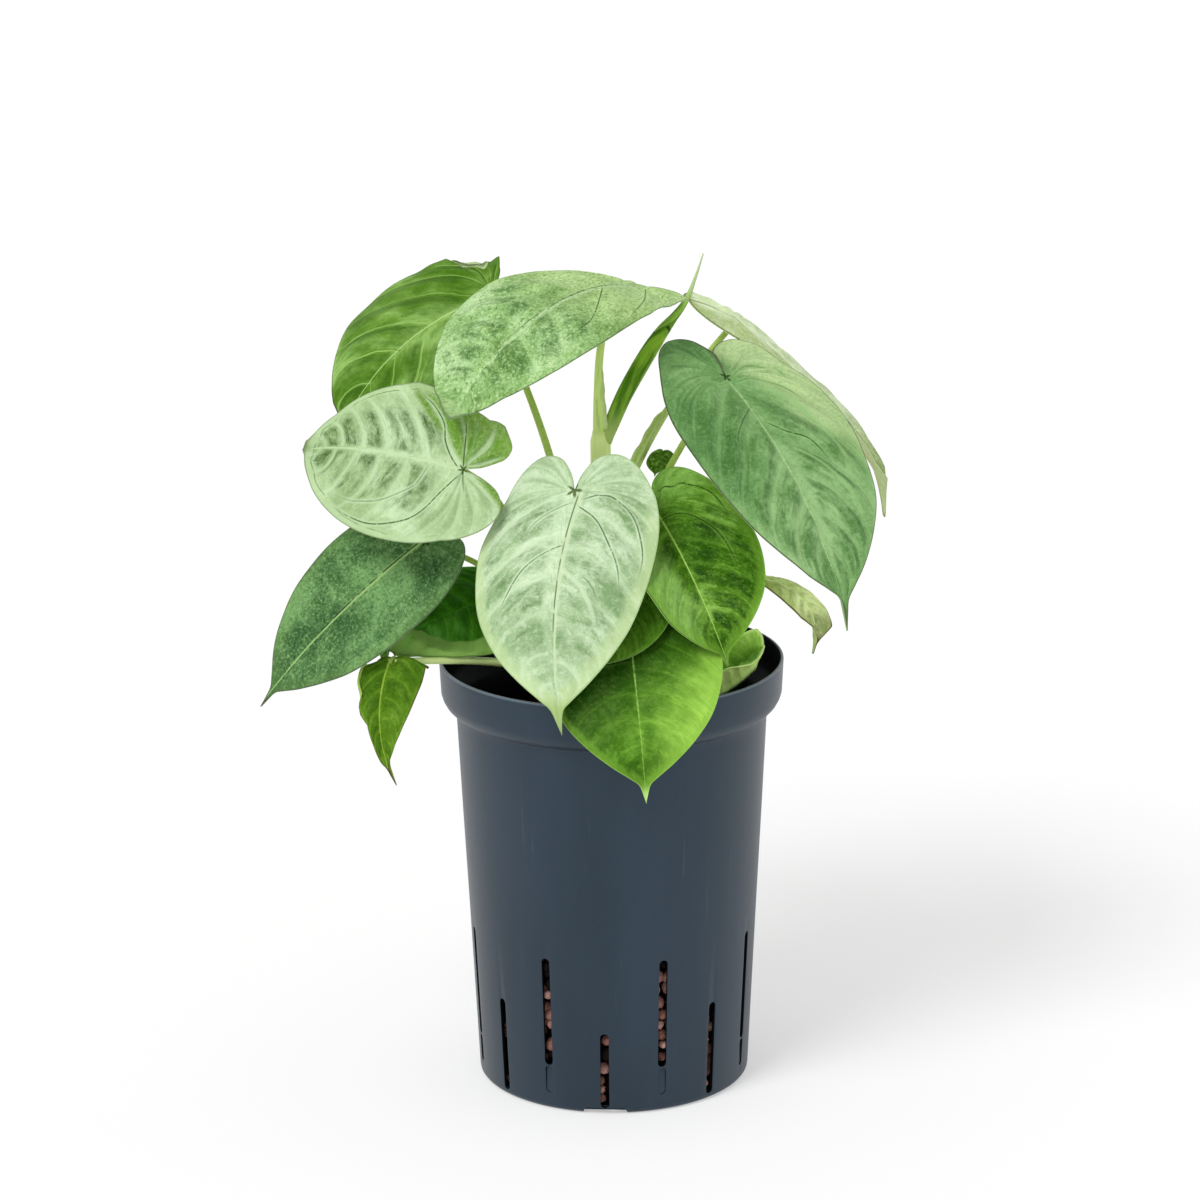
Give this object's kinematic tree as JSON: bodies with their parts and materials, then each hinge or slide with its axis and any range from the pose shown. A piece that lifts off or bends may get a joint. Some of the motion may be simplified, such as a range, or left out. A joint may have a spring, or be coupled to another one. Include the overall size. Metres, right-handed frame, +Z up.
{
  "type": "potted heart-leaved syngonium",
  "caption": "Bushy house plant with heart-shaped, frosted green leaves on slender stalks, growing in clay granules in a slotted tapering culture pot.",
  "frame": {"origin": "centre of the pot's flat underside, where the pot stands", "axes": "+Z up along the pot's axis, -Y towards the viewer of the picture, +X to the viewer's right"},
  "size_m": [0.2747, 0.1941, 0.3641],
  "materials": {
    "pot": "matte",
    "granules": "rough porous",
    "stem": "smooth green",
    "stalk": "smooth green",
    "leaf_upper_left": "satin leaf",
    "leaf_top": "satin leaf",
    "leaf_pale_left": "satin leaf",
    "leaf_lower_left": "satin leaf",
    "leaf_front": "satin leaf",
    "leaf_right": "satin leaf",
    "leaf_right_back": "satin leaf",
    "leaf_right_front": "satin leaf",
    "leaf_over_rim": "satin leaf",
    "leaf_inner_front": "satin leaf",
    "leaf_folded_right": "satin leaf",
    "leaf_small_right": "satin leaf",
    "leaf_inner_left": "satin leaf",
    "leaf_hanging_left": "satin leaf",
    "leaf_young": "satin leaf",
    "spear_leaf": "satin leaf"
  },
  "bodies": {
    "root": {"culture_pot": "pot", "clay_granules": "granules", "stem_left": "stem", "stem_centre": "stem", "stem_right": "stem", "stalk_upper_left": "stalk", "leaf_upper_left": "leaf_upper_left", "stalk_top": "stalk", "leaf_top": "leaf_top", "stalk_pale_left": "stalk", "leaf_pale_left": "leaf_pale_left", "stalk_lower_left": "stalk", "leaf_lower_left": "leaf_lower_left", "stalk_front": "stalk", "leaf_front": "leaf_front", "stalk_right": "stalk", "leaf_right": "leaf_right", "stalk_right_back": "stalk", "leaf_right_back": "leaf_right_back", "stalk_right_front": "stalk", "leaf_right_front": "leaf_right_front", "stalk_over_rim": "stalk", "leaf_over_rim": "leaf_over_rim", "stalk_inner_front": "stalk", "leaf_inner_front": "leaf_inner_front", "stalk_folded_right": "stalk", "leaf_folded_right": "leaf_folded_right", "stalk_small_right": "stalk", "leaf_small_right": "leaf_small_right", "stalk_inner_left": "stalk", "leaf_inner_left": "leaf_inner_left", "stalk_hanging_left": "stalk", "leaf_hanging_left": "leaf_hanging_left", "stalk_young": "stalk", "leaf_young": "leaf_young", "spear_leaf": "spear_leaf"}
  },
  "joints": []
}
